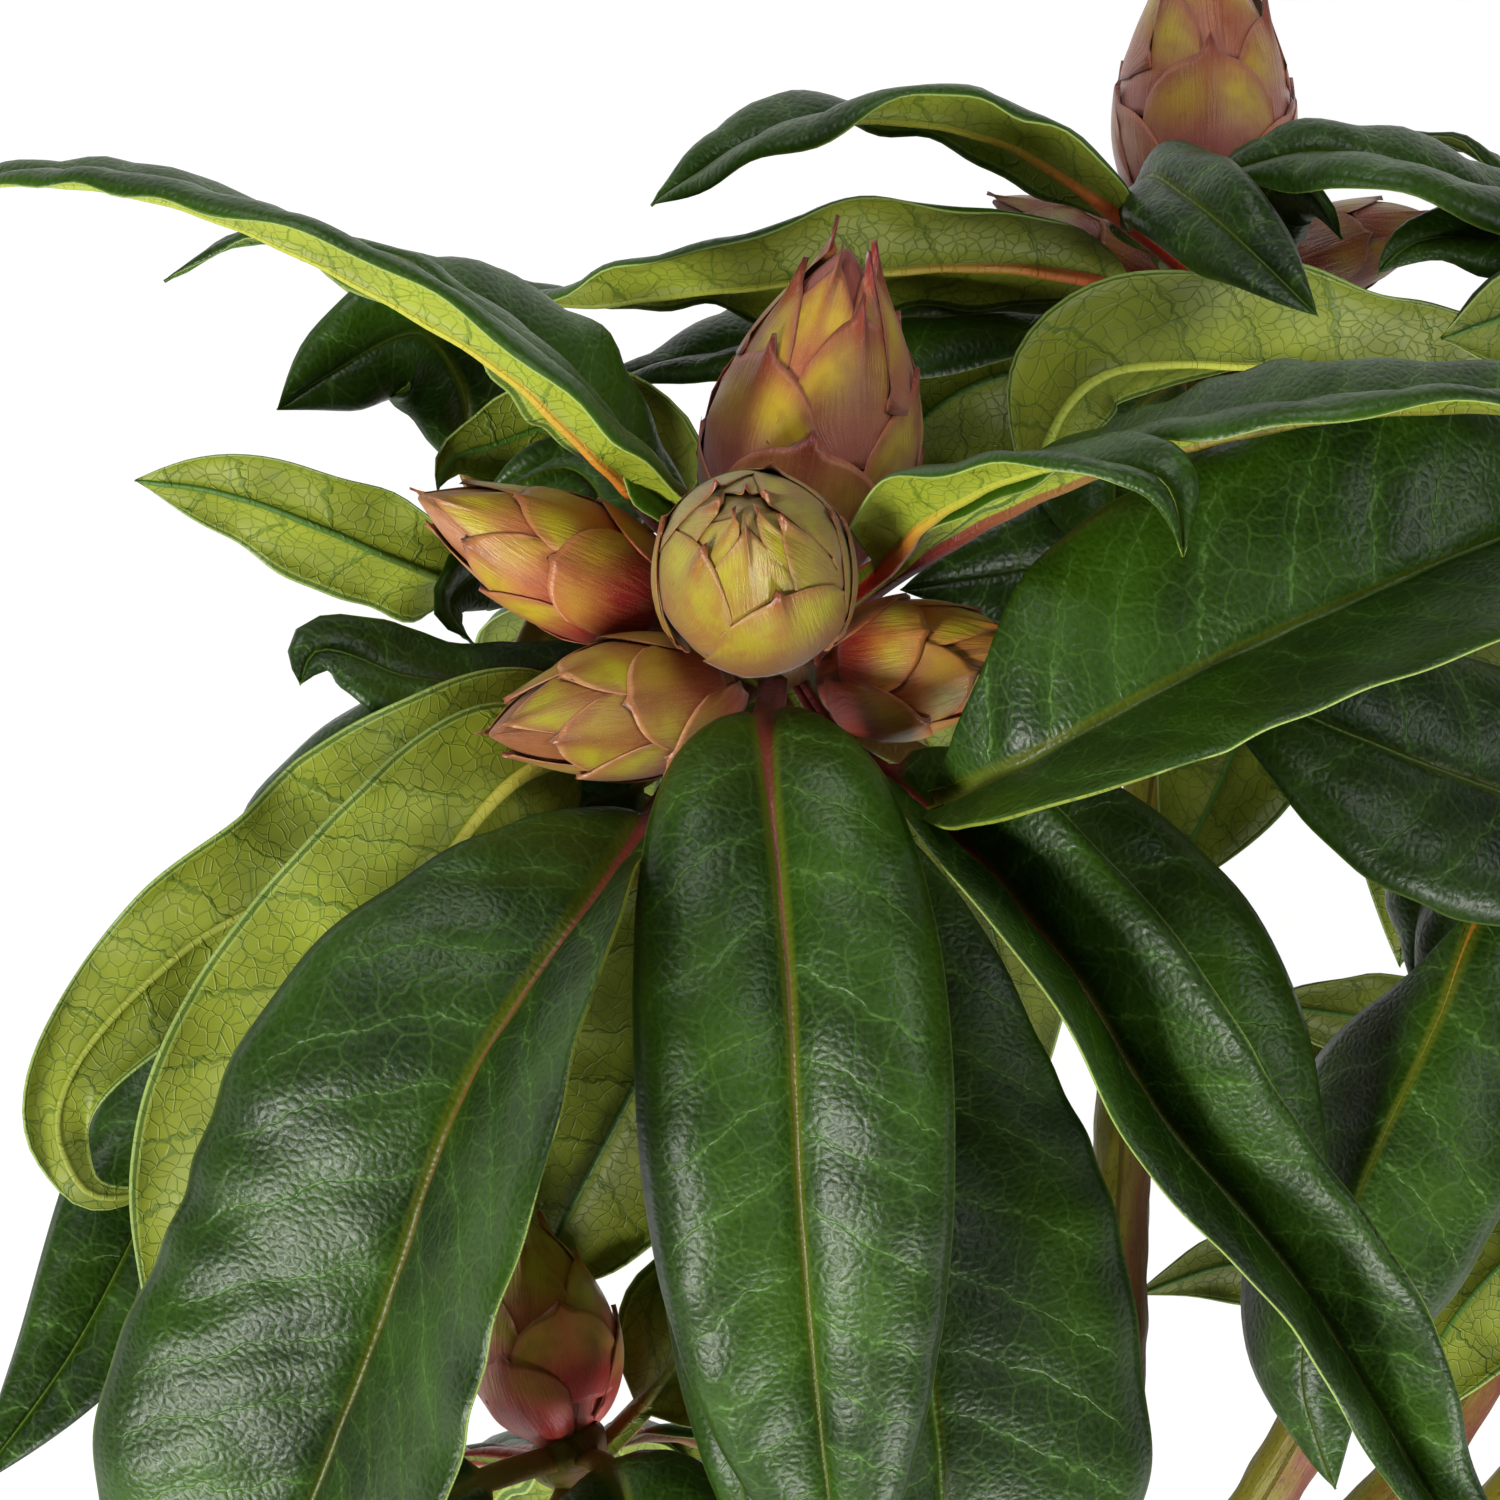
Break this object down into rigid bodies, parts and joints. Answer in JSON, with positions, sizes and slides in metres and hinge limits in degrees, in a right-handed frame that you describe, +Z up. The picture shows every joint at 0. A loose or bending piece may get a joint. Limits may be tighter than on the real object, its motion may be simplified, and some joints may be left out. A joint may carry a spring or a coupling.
{
  "type": "cut rhododendron branch",
  "caption": "Cut evergreen shrub branch lying on its leaves: a forked stem, whorls of long leathery leaves and fat winter buds.",
  "frame": {"origin": "middle of the bounding box in X and Y, at the level of the surface that the branch lies on", "axes": "+Y from the cut end towards the top of the branch, +Z up from the floor towards the whorl of buds that faces the eye, +X to the right of the branch"},
  "size_m": [0.2624, 0.2316, 0.1618],
  "materials": {
    "bark": "satin",
    "bud": "satin",
    "foliage": "satin"
  },
  "bodies": {
    "root": {"main_stem": "bark", "stem_rear": "bark", "stem_front": "bark", "stem_left": "bark", "stem_low_left": "bark", "stem_low_right": "bark", "stem_right": "bark", "stem_low_back": "bark", "bud_front_top": "bud", "bud_front_centre": "bud", "bud_front_left": "bud", "bud_front_low_left": "bud", "bud_front_right": "bud", "bud_rear_top": "bud", "bud_rear_left": "bud", "bud_rear_right": "bud", "bud_left": "bud", "bud_low_left": "bud", "leaves_front": "foliage", "leaves_rear": "foliage", "leaves_right": "foliage", "leaves_left": "foliage", "leaves_low_left": "foliage", "leaves_low_right": "foliage", "leaves_low_back": "foliage"}
  },
  "joints": []
}
